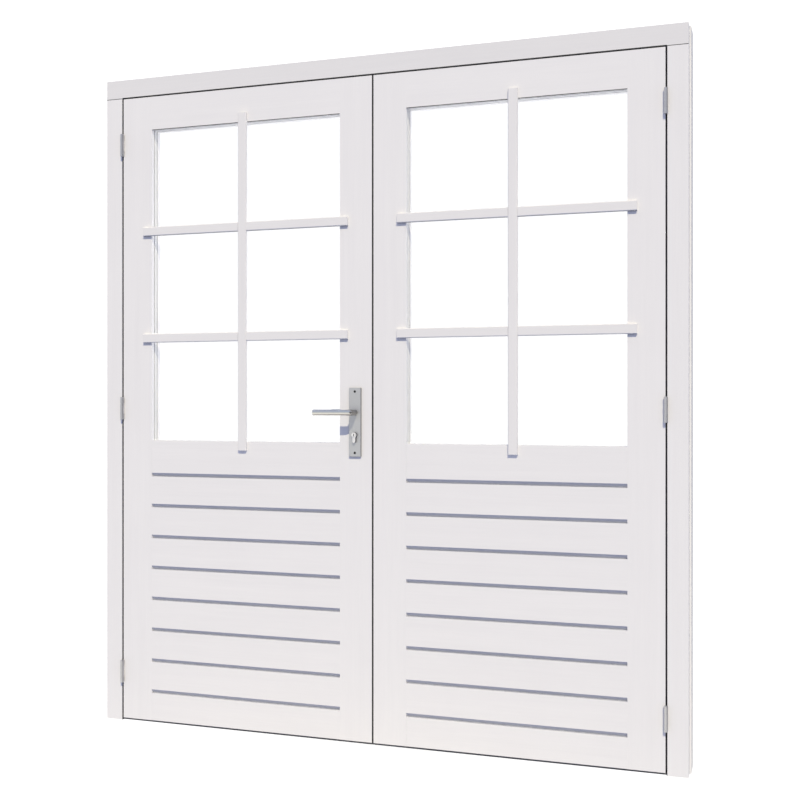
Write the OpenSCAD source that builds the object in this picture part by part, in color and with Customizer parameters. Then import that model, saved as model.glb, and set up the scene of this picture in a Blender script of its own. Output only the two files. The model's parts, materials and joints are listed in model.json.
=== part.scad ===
// A pair of timber garden doors in their frame, opening outwards.
// Each leaf has six panes behind planted bars, and a lower panel of lapped boards.
// Millimetres. +Z is up, -Y is the outside. The origin is on the floor, at the middle
// of the width and of the leaves' thickness, with the leaves shut.
// Pieces of a leaf are written for the left leaf, and mirrored for the right one.

/* [Frame] */
// Width of the frame's outside face
frame_w = 1952; // [1500:1:2500]
// Height of the frame
frame_h = 2200; // [1800:1:2700]
// Depth of the frame, from outside to inside
frame_d = 114; // [100:1:150]
// Width of a post's outside face
post_face = 62; // [50:1:90]
// Height of the head's outside face
head_face = 62; // [50:1:90]
// How far the stop reaches in behind a leaf's edge, past the rebate
stop_w = 15; // [12:1:25]
// How far the inner part of the frame is wider than its outside face
nib_w = 5; // [2:0.5:12]
// Depth of the outside face's part, before the wider part starts
nib_set = 38; // [20:1:50]
// Thickness of the tenons between the posts and the head
frame_tenon_t = 20; // [12:1:26]
// Length of the tenons between the posts and the head
frame_tenon_l = 40; // [20:1:45]
// Diameter of the wall fixing holes
fixing_d = 8; // [5:0.5:12]
// Distance between a post's outer fixing holes
fixing_far = 1800; // [1200:1:2000]
// Distance between a post's inner fixing holes
fixing_near = 600; // [300:1:1000]

/* [Gaps] */
// Gap round the leaves, at the posts, the head and the meeting edges
gap = 4; // [3:0.5:6]
// Height of a leaf's lower edge over the floor
bottom_gap = 8; // [7:0.5:14]
// Gap between a shut leaf and the stop, for the seal
seal_gap = 3; // [2:0.5:5]

/* [Threshold] */
// Thickness of the threshold under the leaves
sill_t = 5; // [4:0.5:6]
// Height of the threshold's stop behind the leaves
sill_stop_h = 20; // [16:1:30]
// How far the threshold is set back from the outside face
sill_set = 10; // [5:1:20]
// Height of the threshold's inner edge
sill_back_h = 12; // [6:1:16]

/* [Leaf] */
// Thickness of a leaf
leaf_t = 54; // [50:1:66]
// Width of a stile
stile_w = 110; // [106:1:150]
// Height of the top rail
top_rail_h = 112; // [80:1:160]
// Height of the glass opening's lower edge over the floor
glass_z = 962; // [700:1:1200]
// Height of the middle rail's outside face
mid_rail_h = 110; // [80:1:160]
// Thickness of the rails' stub tenons
tenon_t = 16; // [10:1:20]
// Length of the rails' stub tenons
tenon_l = 15; // [10:1:17]
// Height of a tenon's shoulders
tenon_shoulder = 22; // [15:1:28]

/* [Boards] */
// Courses in the lower panel, the bottom rail among them
courses = 8; // [5:1:9]
// Height of the groove between two courses
groove_h = 12; // [8:1:16]
// Depth of the groove between two courses
groove_d = 10; // [6:1:12]
// Thickness of the boards
board_t = 34; // [30:1:45]
// Thickness of the tongues on the boards
tongue_t = 8; // [5:1:10]
// Length of the tongues on the boards
tongue_l = 8; // [5:1:10]
// How far the tongues are set back from the outside face
tongue_set = 15; // [14:1:18]

/* [Glazing] */
// Thickness of the lip in front of the glass
lip_t = 14; // [10:1:16]
// Width of the glazing rebate
glass_rebate_w = 14; // [11:1:18]
// Thickness of one sheet of glass
pane_t = 4; // [3:1:6]
// Space between the two sheets of glass
cavity_t = 12; // [8:1:16]
// Thickness of the glazing tape
tape_t = 3; // [2:0.5:4]
// Clearance round the edge of the glass
glass_clear = 3; // [2:0.5:5]
// How far the spacer is set in from the glass's edge
spacer_inset = 3; // [2:0.5:5]
// Length of a setting block under the glass
block_l = 80; // [50:1:120]

/* [Bars] */
// Width of a glazing bar
bar_w = 30; // [20:1:45]
// Thickness of a glazing bar
bar_t = 10; // [6:1:12]
// How far a bar laps over the wood round the glass
bar_lap = 29; // [10:1:30]
// Width of the bars' bevelled edges
bar_arris = 2; // [0.5:0.5:3]
// Panes one above the other
pane_rows = 3; // [2:1:5]

/* [Hinges] */
// Diameter of the knuckles
knuckle_d = 12; // [12:0.5:18]
// Height of a hinge
hinge_h = 75; // [60:1:110]
// Height of a hinge's middle knuckle
mid_knuckle_h = 36; // [20:1:44]
// Distance from a leaf's end to the middle of the nearest hinge
hinge_inset = 160; // [120:1:260]
// Thickness of the hinge plates
hinge_plate_t = 2.5; // [2:0.5:4]
// Depth of the hinge plates in the wood
hinge_plate_d = 38; // [32:1:44]
// Diameter of the hinge pin
hinge_pin_d = 7; // [6:0.5:7.5]
// Clearance between the knuckles and the faces behind them
knuckle_clear = 1.5; // [0.3:0.1:2]
// Gap between two knuckles
knuckle_gap = 0.3; // [0.2:0.1:1]
// Diameter of a hinge pin's head
pin_head_d = 11; // [9:0.5:14]
// Thickness of a hinge pin's head
pin_head_t = 1.5; // [1:0.5:3]

/* [Screws] */
// Diameter of a wood screw
screw_d = 4; // [3:0.5:5]
// Diameter of a wood screw's head
screw_head_d = 8; // [7:0.5:9]
// Height of a wood screw's countersunk head
screw_head_h = 2.2; // [1.5:0.1:2.4]
// Length of a wood screw
screw_l = 30; // [20:1:40]

/* [Handle] */
// Height of the lever's axis over the floor
lever_z = 1060; // [950:1:1150]
// Distance from the meeting edge to the lever's axis
backset = 56; // [50:1:60]
// Distance from the lever's axis down to the cylinder's axis
cylinder_drop = 72; // [70:1:75]
// Width of a handle plate
plate_w = 40; // [32:1:44]
// Height of a handle plate
plate_h = 220; // [210:1:250]
// Thickness of a handle plate
plate_t = 8; // [7:0.5:12]
// Width of the bevel round a handle plate
plate_bevel = 1; // [0.5:0.5:2]
// Height of the plates' middle under the lever's axis
plate_drop = 31; // [25:1:40]
// Distance from a plate's end to its screw
plate_screw_inset = 12; // [9:1:14]
// Diameter of the plates' through screws
bolt_d = 5; // [4:0.5:6]
// Diameter of the through screws' heads
bolt_head_d = 8; // [7.5:0.5:10]
// Diameter of the lever
lever_d = 19; // [16:0.5:22]
// Length of the lever from its axis to its tip
lever_l = 126; // [100:1:160]
// Distance from the leaf's face to the middle of the lever
lever_out = 52; // [45:1:65]
// Bend radius of the lever's elbow
lever_bend = 12; // [11:1:18]
// Diameter of the lever's journal in the plate
journal_d = 16; // [12:0.5:18]
// Side of the square spindle
spindle_w = 8; // [7:0.5:9]
// How far the spindle reaches into a lever, past its plate
spindle_in = 13; // [9:1:16]
// Diameter of the levers' grub screws
grub_d = 4; // [3:0.5:5]

/* [Lock] */
// Depth of the lock case behind its forend
case_d = 87; // [86:1:88]
// Thickness of the lock case
case_t = 16; // [16:0.5:20]
// Height of the lock case above the lever's axis
case_up = 43; // [41:1:50]
// Height of the lock case below the lever's axis
case_down = 122; // [115:1:125]
// Wall of the lock case
case_wall = 1.5; // [1:0.5:2]
// Thickness of the forend and the strike plate
forend_t = 3; // [2:0.5:4]
// Width of the forend and the strike plate
forend_w = 20; // [18:1:24]
// Height of the forend above the lever's axis
forend_up = 78; // [70:1:90]
// Height of the forend below the lever's axis
forend_down = 157; // [150:1:170]
// Distance from the forend's end to its screw
forend_screw_inset = 12; // [8:1:14]
// Height of the latch bolt
latch_h = 20; // [16:1:22]
// Thickness of the latch bolt
latch_t = 11; // [8:0.5:12]
// Height of the latch bolt's middle over the lever's axis
latch_up = 26; // [24:1:27]
// Travel of the latch bolt
latch_throw = 12; // [8:1:13]
// Height of the dead bolt
dead_h = 32; // [24:1:34]
// Thickness of the dead bolt
dead_t = 10; // [8:0.5:12]
// Travel of the dead bolt
dead_throw = 20; // [14:1:21]
// Diameter of the follower's body
follower_d = 24; // [20:1:26]
// Diameter of the follower's collars in the case
collar_d = 18; // [14:0.5:20]
// Length of the follower's arm from its axis
arm_l = 20; // [17:1:21]
// Clearance of the bolts in their guides
bolt_clear = 0.3; // [0.2:0.1:0.5]

/* [Cylinder] */
// Diameter of the lock cylinder's round part
cylinder_d = 17; // [16.5:0.5:18]
// Height of the lock cylinder
cylinder_h = 33; // [31:0.5:34]
// Width of the lock cylinder's web
web_w = 10; // [9:0.5:11]
// How far the lock cylinder stands out of the handle plates
cylinder_out = 9; // [2:0.5:12]
// Diameter of the plug
plug_d = 13; // [12:0.5:13.5]
// How far the plug stands out of the cylinder
plug_out = 1; // [0.5:0.5:2]
// Radius that the cam reaches
cam_r = 15; // [14:0.5:15]
// Width of the cam's lobe
cam_w = 9; // [7:0.5:10]
// Thickness of the cam
cam_t = 9; // [8:0.5:9.5]
// Width of the key slot
key_w = 2.4; // [1.6:0.1:3]
// Height of the key slot
key_h = 8; // [6:0.5:9]
// Depth of the key slot
key_depth = 25; // [10:1:28]

/* [Flush bolts] */
// Diameter of a flush bolt
flush_d = 10; // [8:0.5:11]
// Distance from the meeting edge to a flush bolt's axis
flush_set = 12; // [11:0.5:14]
// Length of a flush bolt's plate
flush_plate_l = 160; // [140:1:200]
// Width of a flush bolt's plate
flush_plate_w = 18; // [16:1:22]
// Travel of the upper flush bolt
top_throw = 14; // [10:1:16]
// Travel of the lower flush bolt
bottom_throw = 7.5; // [6:0.5:7.5]
// Height of a flush bolt's guides
guide_h = 20; // [18:1:24]
// Length of the keep in the head
keep_l = 50; // [46:1:70]

/* [Hidden] */

// Colours
paint = [0.90, 0.90, 0.91];
steel = [0.70, 0.70, 0.73];
dark = [0.20, 0.20, 0.21];
rubber = [0.12, 0.12, 0.12];
clear = [0.85, 0.93, 0.92, 0.35];

// Cut-outs run past a face by this much, running fits have this clearance on the radius
past = 1;
fit = 0.05;
round_n = 48;

// Depth of a driver's recess, as a share of the screw head's height
recess = 0.8;

// Frame, seen from outside: faces of the posts and the head
face_y = -leaf_t / 2;
back_y = face_y + frame_d;
nib_y = face_y + nib_set;
stop_y = leaf_t / 2 + seal_gap;
half_w = frame_w / 2;
post_x = half_w - post_face;
stop_x = post_x - stop_w;
head_z = frame_h - head_face;
seal_w = 6;
seal_root_w = 2;
seal_root_d = 5;
seal_clear = 0.3;
seal_shift = 1;

// Leaf: edges of the left leaf, and of its glass opening
leaf_w = (frame_w - 2 * post_face - 3 * gap) / 2;
hinge_edge = -leaf_w - gap / 2;
meet_edge = -gap / 2;
leaf_top = head_z - gap;
open_left = hinge_edge + stile_w;
open_right = meet_edge - stile_w;
open_mid = (open_left + open_right) / 2;
glass_top = leaf_top - top_rail_h;

// Courses of the lower panel
pitch = (glass_z - mid_rail_h - bottom_gap) / courses;
mid_rail_z = glass_z - mid_rail_h - groove_h;
bottom_rail_z = bottom_gap + pitch - groove_h;
tongue_y = face_y + tongue_set;
joint_gap = 0.2;
board_h = pitch - joint_gap;

// Lower and upper ends of the tenons of the bottom, middle and top rail
tenon_spans = [
    [bottom_gap + tenon_shoulder, bottom_rail_z - tenon_shoulder],
    [mid_rail_z + tenon_shoulder, glass_z - glass_rebate_w - tenon_shoulder],
    [glass_top + glass_rebate_w + tenon_shoulder, leaf_top - tenon_shoulder]
];

// Glazing: from the lip to the bead
tape_y = face_y + lip_t;
glass_y = tape_y + tape_t;
glass_back_y = glass_y + 2 * pane_t + cavity_t;
bead_y = glass_back_y + tape_t;
glass_lap = glass_rebate_w - glass_clear;

// Bars
pane_h = (glass_top - glass_z - (pane_rows - 1) * bar_w) / pane_rows;

// Hinges
hinge_x = -leaf_w - gap;
hinge_y = face_y - knuckle_d / 2 - knuckle_clear;
hinge_zs = [
    bottom_gap + hinge_inset,
    (bottom_gap + leaf_top) / 2,
    leaf_top - hinge_inset
];
wing_wall = 0.9;
wing_y = hinge_y + hinge_pin_d / 2 + wing_wall;
hinge_screw_zs = [-0.35, -0.125, 0.125, 0.35] * hinge_h;
hinge_screw_near = 11;
hinge_screw_far = 27;

// Handle and lock
axis_x = meet_edge - backset;
spindle_l = leaf_t + 2 * (plate_t + spindle_in);
cylinder_z = lever_z - cylinder_drop;
plate_z = lever_z - plate_drop;
plate_out_y = face_y - plate_t;
lever_y = face_y - lever_out;
bolt_zs = [
    plate_z - plate_h / 2 + plate_screw_inset,
    plate_z + plate_h / 2 - plate_screw_inset
];
bolt_floor = 2.5;
bolt_reach = plate_t - bolt_floor;
bolt_head_h = 2.6;
end_clear = 0.5;
grub_set = 6;
grub_y = plate_out_y - grub_set;
lever_edge = 1;
arm_w = 6;
grub_socket = 1.5;
forend_x = meet_edge - forend_t;
case_x = forend_x - case_d;
case_clear = 0.2;
nose_set = 0.3;
nose_x = meet_edge - nose_set;
latch_z = lever_z + latch_up;
latch_block_l = 30;
latch_tail_l = 47;
tail_step = 2;
latch_bevel = 10;
half_split = 0.5;
cam_bite = 4;
dead_z = cylinder_z + cam_r - cam_bite + dead_h / 2;
dead_l = case_d - forend_t - end_clear;
notch_x = axis_x - dead_throw / 2;
notch_h = cam_bite + 1.5;
cam_clear = 0.5;
bridge_h = cylinder_h - cylinder_d / 2 - cam_r - cam_clear;
cylinder_bottom_z = cylinder_z + cylinder_d / 2 - cylinder_h;
cylinder_end = leaf_t / 2 + plate_t + cylinder_out;
cylinder_screw_z = cylinder_bottom_z + bridge_h / 2;
forend_screw_zs = [
    lever_z - forend_down + forend_screw_inset,
    lever_z + forend_up - forend_screw_inset
];
strike_screw_drop = 12;
strike_screw_z = lever_z - strike_screw_drop;
strike_clear = 1;
leaf_hole_clear = 2;

// Flush bolts, in the meeting edge of the right leaf
flush_x = meet_edge - flush_set;
flush_wall = 3;
flush_case_x = flush_x - flush_d / 2 - flush_wall;
flush_side = 8;
thumb_w = 6;
thumb_h = 12;
thumb_z = leaf_top - flush_plate_l / 2;
flush_low = leaf_top - flush_plate_l;
guide_rise = 24;
guide_z = flush_low + guide_rise;
guide_zs = [guide_z, leaf_top - guide_h];
lug_l = 30;
lug_x = flush_x - lug_l;
lug_screw_x = flush_x - lug_l * 2 / 3;
low_screw_z = flush_low + guide_rise / 2;
flush_tip = 0.5;
rod_set = 2;
flush_hole_d = flush_d + 1;
keep_t = 3;
keep_w = 20;
keep_screw_set = 18;
keep_spare = 4;
keep_hole_depth = top_throw + keep_spare;

// A block between two corners
module block(low, high) {
    translate(low) cube(high - low);
}

// A round bar along Y, from y0 to y1
module bar_y(x, z, d, y0, y1) {
    translate([x, y0, z]) rotate([-90, 0, 0]) cylinder(d = d, h = y1 - y0, $fn = round_n);
}

// A flat outline in X and Z, given thickness from y0 to y1
module slab_y(y0, y1) {
    translate([0, y1, 0]) rotate([90, 0, 0]) linear_extrude(height = y1 - y0) children();
}

module on_right() {
    mirror([1, 0, 0]) children();
}

// Turns what is made for a leaf's upper end over to its lower end
module on_bottom() {
    translate([0, 0, bottom_gap + leaf_top]) mirror([0, 0, 1]) children();
}

// A countersunk wood screw with its head's face at the origin, pointing along -Z
module wood_screw() {
    difference() {
        union() {
            translate([0, 0, -screw_head_h])
                cylinder(d1 = screw_d, d2 = screw_head_d, h = screw_head_h, $fn = round_n);
            translate([0, 0, -screw_l + screw_d])
                cylinder(d = screw_d, h = screw_l - screw_d - screw_head_h, $fn = round_n);
            translate([0, 0, -screw_l])
                cylinder(d1 = screw_d / 4, d2 = screw_d, h = screw_d, $fn = round_n);
        }
        translate([-screw_d / 4, -screw_d / 4, -screw_head_h * recess])
            cube([screw_d / 2, screw_d / 2, screw_head_h]);
    }
}

// The hole for a wood screw: countersink and pilot
module screw_hole() {
    translate([0, 0, -screw_head_h])
        cylinder(d1 = screw_d + 2 * fit, d2 = screw_head_d + 2 * fit, h = screw_head_h, $fn = round_n);
    translate([0, 0, -screw_l - past])
        cylinder(d = screw_d + 2 * fit, h = screw_l + past, $fn = round_n);
    cylinder(d = screw_head_d + 2 * fit, h = past, $fn = round_n);
}

// ---- Frame ----

// Half of the frame's outline from above: the left post
module post_outline() {
    polygon([
        [-post_x, face_y],
        [-half_w, face_y],
        [-half_w, nib_y],
        [-half_w - nib_w, nib_y],
        [-half_w - nib_w, back_y],
        [-stop_x, back_y],
        [-stop_x, stop_y],
        [-post_x, stop_y]
    ]);
}

module post_tenon() {
    block(
        [-half_w + post_face / 4, nib_y - frame_tenon_t, head_z],
        [-post_x - post_face / 4, nib_y, head_z + frame_tenon_l]
    );
}

module seal_strip_outline() {
    translate([-stop_x - stop_w / 2 - seal_w / 2 + seal_shift, 0]) {
        translate([0, leaf_t / 2 + seal_clear]) square([seal_w, seal_gap - seal_clear]);
        translate([seal_w / 2 - seal_root_w / 2, stop_y]) square([seal_root_w, seal_root_d]);
    }
}

// Places something at each wall fixing hole of the left post
module at_fixings() {
    for (spread = [fixing_far, fixing_near])
        for (side = [-1, 1])
            translate([-half_w, (stop_y + back_y) / 2, frame_h / 2 + side * spread / 2])
                children();
}

module post() {
    color(paint) difference() {
        union() {
            linear_extrude(height = head_z) post_outline();
            post_tenon();
        }
        translate([0, 0, sill_stop_h]) linear_extrude(height = head_z) seal_strip_outline();
        at_fixings() rotate([0, 90, 0])
            cylinder(d = fixing_d, h = 4 * post_face, center = true, $fn = round_n);
        hinge_recess(-post_x - hinge_plate_t);
        at_frame_hinge_screws() screw_hole();
    }
}

module left_post() {
    post();
}

module right_post() {
    on_right() post();
}

module head() {
    color(paint) difference() {
        union() {
            block([-half_w, face_y, head_z], [half_w, nib_y, frame_h]);
            block([-half_w - nib_w, nib_y, head_z], [half_w + nib_w, back_y, frame_h]);
            block([-stop_x, stop_y, head_z - stop_w], [stop_x, back_y, head_z]);
        }
        post_tenon();
        on_right() post_tenon();
        top_seal(seal_root_d);
        on_right() {
            block(
                [flush_x - keep_l / 2, -keep_w / 2, head_z],
                [flush_x + keep_l / 2, keep_w / 2, head_z + keep_t]
            );
            translate([flush_x, 0, head_z])
                cylinder(d = flush_hole_d + 1, h = keep_t + keep_hole_depth, $fn = round_n);
            at_keep_screws() screw_hole();
        }
    }
}

module threshold() {
    color(dark) difference() {
        union() {
            block([-post_x, face_y + sill_set, 0], [post_x, stop_y, sill_t]);
            translate([-stop_x, 0, 0]) rotate([90, 0, 90]) linear_extrude(height = 2 * stop_x)
                polygon([
                    [stop_y, 0],
                    [back_y, 0],
                    [back_y, sill_back_h],
                    [(stop_y + back_y) / 2, sill_stop_h],
                    [stop_y, sill_stop_h]
                ]);
        }
        sill_seal(seal_root_d);
        on_right() translate([flush_x, 0, -past])
            cylinder(d = flush_hole_d, h = sill_t + 2 * past, $fn = round_n);
    }
}

// A seal across the width: its flat part, and its root in a groove
module cross_seal(z, root_d) {
    block([-stop_x, leaf_t / 2 + seal_clear, z - seal_w / 2], [stop_x, stop_y, z + seal_w / 2]);
    block([-stop_x, stop_y, z - seal_root_w / 2], [stop_x, stop_y + root_d, z + seal_root_w / 2]);
}

module top_seal(root_d) {
    cross_seal(head_z - stop_w / 2, root_d);
}

module sill_seal(root_d) {
    cross_seal((sill_stop_h + bottom_gap) / 2, root_d);
}

module side_seal() {
    translate([0, 0, sill_stop_h])
        linear_extrude(height = head_z - sill_stop_h) seal_strip_outline();
}

module frame_seals() {
    color(rubber) {
        side_seal();
        on_right() side_seal();
        top_seal(seal_root_d);
        sill_seal(seal_root_d);
    }
}

// ---- Hinges ----

module hinge_recess(x) {
    for (z = hinge_zs)
        block(
            [x, face_y, z - hinge_h / 2],
            [x + hinge_plate_t, face_y + hinge_plate_d, z + hinge_h / 2]
        );
}

// Places something at each screw of the hinges' plates, pointing into the wood on that side
module at_hinge_screws(x, turn) {
    for (z = hinge_zs)
        for (i = [0 : len(hinge_screw_zs) - 1])
            translate([
                x,
                face_y + (i % 2 == 0 ? hinge_screw_near : hinge_screw_far),
                z + hinge_screw_zs[i]
            ]) rotate([0, turn, 0]) children();
}

module at_frame_hinge_screws() {
    at_hinge_screws(-post_x, 90) children();
}

module at_leaf_hinge_screws() {
    at_hinge_screws(hinge_edge, -90) children();
}

module knuckle(z0, z1) {
    translate([hinge_x, hinge_y, z0]) cylinder(d = knuckle_d, h = z1 - z0, $fn = round_n);
}

// One half of a hinge: its plate, and a wing from the plate to each knuckle that it carries
module hinge_half(z, plate_x, spans) {
    difference() {
        union() {
            block(
                [plate_x, face_y, z - hinge_h / 2],
                [plate_x + hinge_plate_t, face_y + hinge_plate_d, z + hinge_h / 2]
            );
            for (span = spans) {
                block(
                    [plate_x, wing_y, z + span[0]],
                    [plate_x + hinge_plate_t, face_y, z + span[1]]
                );
                knuckle(z + span[0], z + span[1]);
            }
        }
        translate([hinge_x, hinge_y, z - hinge_h])
            cylinder(d = hinge_pin_d + 2 * fit, h = 2 * hinge_h, $fn = round_n);
    }
}

module frame_hinges() {
    low = mid_knuckle_h / 2 + knuckle_gap;
    high = hinge_h / 2;
    color(steel) difference() {
        for (z = hinge_zs)
            hinge_half(z, -post_x - hinge_plate_t, [[-high, -low], [low, high]]);
        at_frame_hinge_screws() screw_hole();
    }
}

module leaf_hinges() {
    color(steel) difference() {
        for (z = hinge_zs)
            hinge_half(z, hinge_edge, [[-mid_knuckle_h / 2, mid_knuckle_h / 2]]);
        at_leaf_hinge_screws() screw_hole();
    }
}

module pins() {
    for (z = hinge_zs)
        translate([hinge_x, hinge_y, z]) {
            translate([0, 0, -hinge_h / 2])
                cylinder(d = hinge_pin_d, h = hinge_h, $fn = round_n);
            translate([0, 0, hinge_h / 2])
                cylinder(d = pin_head_d, h = pin_head_t, $fn = round_n);
        }
}

module left_frame_hinges() {
    frame_hinges();
}

module right_frame_hinges() {
    on_right() frame_hinges();
}

module left_leaf_hinges() {
    leaf_hinges();
}

module right_leaf_hinges() {
    on_right() leaf_hinges();
}

module hinge_pins() {
    color(steel) {
        pins();
        on_right() pins();
    }
}

// ---- Leaf ----

// A stile with its outer edge at x = 0 and its inner edge at x = stile_w
module stile_blank() {
    difference() {
        block([0, face_y, bottom_gap], [stile_w, -face_y, leaf_top]);
        block(
            [stile_w - glass_rebate_w, tape_y, glass_z - glass_rebate_w],
            [stile_w + past, -face_y + past, glass_top + glass_rebate_w]
        );
        block(
            [stile_w - tongue_l, tongue_y, bottom_rail_z],
            [stile_w + past, tongue_y + tongue_t, mid_rail_z]
        );
        for (span = tenon_spans)
            block(
                [stile_w - tenon_l, -tenon_t / 2, span[0]],
                [stile_w + past, tenon_t / 2, span[1]]
            );
    }
}

module hinge_stile() {
    color(paint) difference() {
        translate([hinge_edge, 0, 0]) stile_blank();
        hinge_recess(hinge_edge);
        at_leaf_hinge_screws() screw_hole();
    }
}

module meeting_stile_blank() {
    translate([meet_edge, 0, 0]) mirror([1, 0, 0]) stile_blank();
}

module left_hinge_stile() {
    hinge_stile();
}

module right_hinge_stile() {
    on_right() hinge_stile();
}

module left_lock_stile() {
    color(paint) difference() {
        meeting_stile_blank();
        block(
            [forend_x, -forend_w / 2, lever_z - forend_down],
            [meet_edge + past, forend_w / 2, lever_z + forend_up]
        );
        block(
            [case_x - case_clear, -case_t / 2 - case_clear, lever_z - case_down - case_clear],
            [meet_edge + past, case_t / 2 + case_clear, lever_z + case_up + case_clear]
        );
        bar_y(axis_x, lever_z, collar_d + 2 * leaf_hole_clear, face_y - past, past - face_y);
        slab_y(face_y - past, past - face_y) cylinder_outline(leaf_hole_clear);
        for (z = bolt_zs)
            bar_y(axis_x, z, bolt_d + 1, face_y - past, past - face_y);
        at_forend_screws() screw_hole();
    }
}

module right_meeting_stile() {
    color(paint) on_right() difference() {
        meeting_stile_blank();
        block(
            [forend_x, -forend_w / 2, lever_z - forend_down],
            [meet_edge + past, forend_w / 2, lever_z + forend_up]
        );
        strike_pocket(latch_z, latch_h, latch_t, latch_throw);
        strike_pocket(dead_z, dead_h, dead_t, dead_throw);
        at_strike_screws() screw_hole();
        flush_pocket();
        on_bottom() flush_pocket();
        at_flush_screws() screw_hole();
        on_bottom() at_flush_screws() screw_hole();
    }
}

// A rail between the stiles, with its stub tenons
module rail(z0, z1, span) {
    block([open_left, face_y, z0], [open_right, -face_y, z1]);
    block(
        [open_left - tenon_l, -tenon_t / 2, span[0]],
        [open_right + tenon_l, tenon_t / 2, span[1]]
    );
}

// The cut under a course: back and down from its face
module course_cut(z) {
    translate([open_left - past, 0, z]) rotate([90, 0, 90])
        linear_extrude(height = open_right - open_left + 2 * past)
            polygon([
                [face_y - past, groove_h],
                [face_y, groove_h],
                [face_y + groove_d, 0],
                [face_y + groove_d, -past],
                [face_y - past, -past]
            ]);
}

// The tongue on top of a course, or with some play the groove for it
module course_tongue(z, play) {
    block(
        [open_left - play, tongue_y - play, z - play],
        [open_right + play, tongue_y + tongue_t + play, z + tongue_l]
    );
}

module top_rail() {
    color(paint) difference() {
        rail(glass_top, leaf_top, tenon_spans[2]);
        block(
            [open_left - past, tape_y, glass_top - past],
            [open_right + past, past - face_y, glass_top + glass_rebate_w]
        );
    }
}

module middle_rail() {
    color(paint) difference() {
        rail(mid_rail_z, glass_z, tenon_spans[1]);
        block(
            [open_left - past, tape_y, glass_z - glass_rebate_w],
            [open_right + past, past - face_y, glass_z + past]
        );
        course_cut(mid_rail_z);
        course_tongue(mid_rail_z, joint_gap);
    }
}

module bottom_rail() {
    color(paint) {
        rail(bottom_gap, bottom_rail_z - joint_gap, tenon_spans[0]);
        course_tongue(bottom_rail_z - joint_gap, 0);
    }
}

module boards() {
    color(paint) for (i = [1 : courses - 1]) {
        z = bottom_rail_z + (i - 1) * pitch;
        difference() {
            union() {
                block([open_left, face_y, z], [open_right, face_y + board_t, z + board_h]);
                block(
                    [open_left - tongue_l, tongue_y, z],
                    [open_right + tongue_l, tongue_y + tongue_t, z + board_h]
                );
                course_tongue(z + board_h, 0);
            }
            course_cut(z);
            course_tongue(z, joint_gap);
        }
    }
}

// The glass opening made larger by edge, from y0 to y1
module glass_block(edge, y0, y1) {
    block(
        [open_left - edge, y0, glass_z - edge],
        [open_right + edge, y1, glass_top + edge]
    );
}

module glass_ring(outer, inner, y0, y1) {
    difference() {
        glass_block(outer, y0, y1);
        glass_block(inner, y0 - past, y1 + past);
    }
}

module glass() {
    color(clear) {
        glass_block(glass_lap, glass_y, glass_y + pane_t);
        glass_block(glass_lap, glass_back_y - pane_t, glass_back_y);
    }
}

module glass_spacer() {
    color(steel) glass_ring(glass_lap - spacer_inset, 0, glass_y + pane_t, glass_back_y - pane_t);
}

// Glazing tape in front of and behind the glass, and two setting blocks under it
module glass_seals() {
    color(rubber) {
        glass_ring(glass_lap, 0, tape_y, glass_y);
        glass_ring(glass_lap, 0, glass_back_y, bead_y);
        for (x = [open_left + block_l, open_right - block_l])
            block(
                [x - block_l / 2, glass_y, glass_z - glass_rebate_w],
                [x + block_l / 2, glass_back_y, glass_z - glass_lap]
            );
    }
}

// Inner beads: upper and lower ones over the whole width, side ones between them
module glass_beads() {
    wide = glass_rebate_w;
    color(paint) {
        for (z = [glass_z - wide, glass_top])
            block([open_left - wide, bead_y, z], [open_right + wide, -face_y, z + wide]);
        for (x = [open_left - wide, open_right])
            block(
                [x, bead_y, glass_z + joint_gap],
                [x + wide, -face_y, glass_top - joint_gap]
            );
    }
}

// A bar's section: flat on the leaf's face, with bevelled front edges
module bar_outline() {
    polygon([
        [-bar_w / 2, 0],
        [-bar_w / 2, bar_arris - bar_t],
        [bar_arris - bar_w / 2, -bar_t],
        [bar_w / 2 - bar_arris, -bar_t],
        [bar_w / 2, bar_arris - bar_t],
        [bar_w / 2, 0]
    ]);
}

module upright_bar() {
    translate([open_mid, face_y, glass_z - bar_lap])
        linear_extrude(height = glass_top - glass_z + 2 * bar_lap) bar_outline();
}

module cross_bar(z) {
    translate([open_left - bar_lap, face_y, z]) rotate([0, 90, 0])
        linear_extrude(height = open_right - open_left + 2 * bar_lap) bar_outline();
}

function cross_bar_z(i) = glass_z + i * pane_h + (i - 0.5) * bar_w;

// Half lap at a crossing: the upright bar keeps the outer half, the cross bar the inner half
module vertical_bar() {
    color(paint) difference() {
        upright_bar();
        for (i = [1 : pane_rows - 1])
            block(
                [open_mid - bar_w, face_y - bar_t / 2, cross_bar_z(i) - bar_w / 2],
                [open_mid + bar_w, face_y + past, cross_bar_z(i) + bar_w / 2]
            );
    }
}

module horizontal_bars() {
    color(paint) for (i = [1 : pane_rows - 1])
        difference() {
            cross_bar(cross_bar_z(i));
            block(
                [open_mid - bar_w / 2, face_y - bar_t - past, cross_bar_z(i) - bar_w],
                [open_mid + bar_w / 2, face_y - bar_t / 2, cross_bar_z(i) + bar_w]
            );
        }
}

module left_top_rail() {
    top_rail();
}

module left_middle_rail() {
    middle_rail();
}

module left_bottom_rail() {
    bottom_rail();
}

module left_boards() {
    boards();
}

module left_glass() {
    glass();
}

module left_glass_spacer() {
    glass_spacer();
}

module left_glass_seals() {
    glass_seals();
}

module left_glass_beads() {
    glass_beads();
}

module left_vertical_bar() {
    vertical_bar();
}

module left_horizontal_bars() {
    horizontal_bars();
}

module right_top_rail() {
    on_right() top_rail();
}

module right_middle_rail() {
    on_right() middle_rail();
}

module right_bottom_rail() {
    on_right() bottom_rail();
}

module right_boards() {
    on_right() boards();
}

module right_glass() {
    on_right() glass();
}

module right_glass_spacer() {
    on_right() glass_spacer();
}

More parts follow.
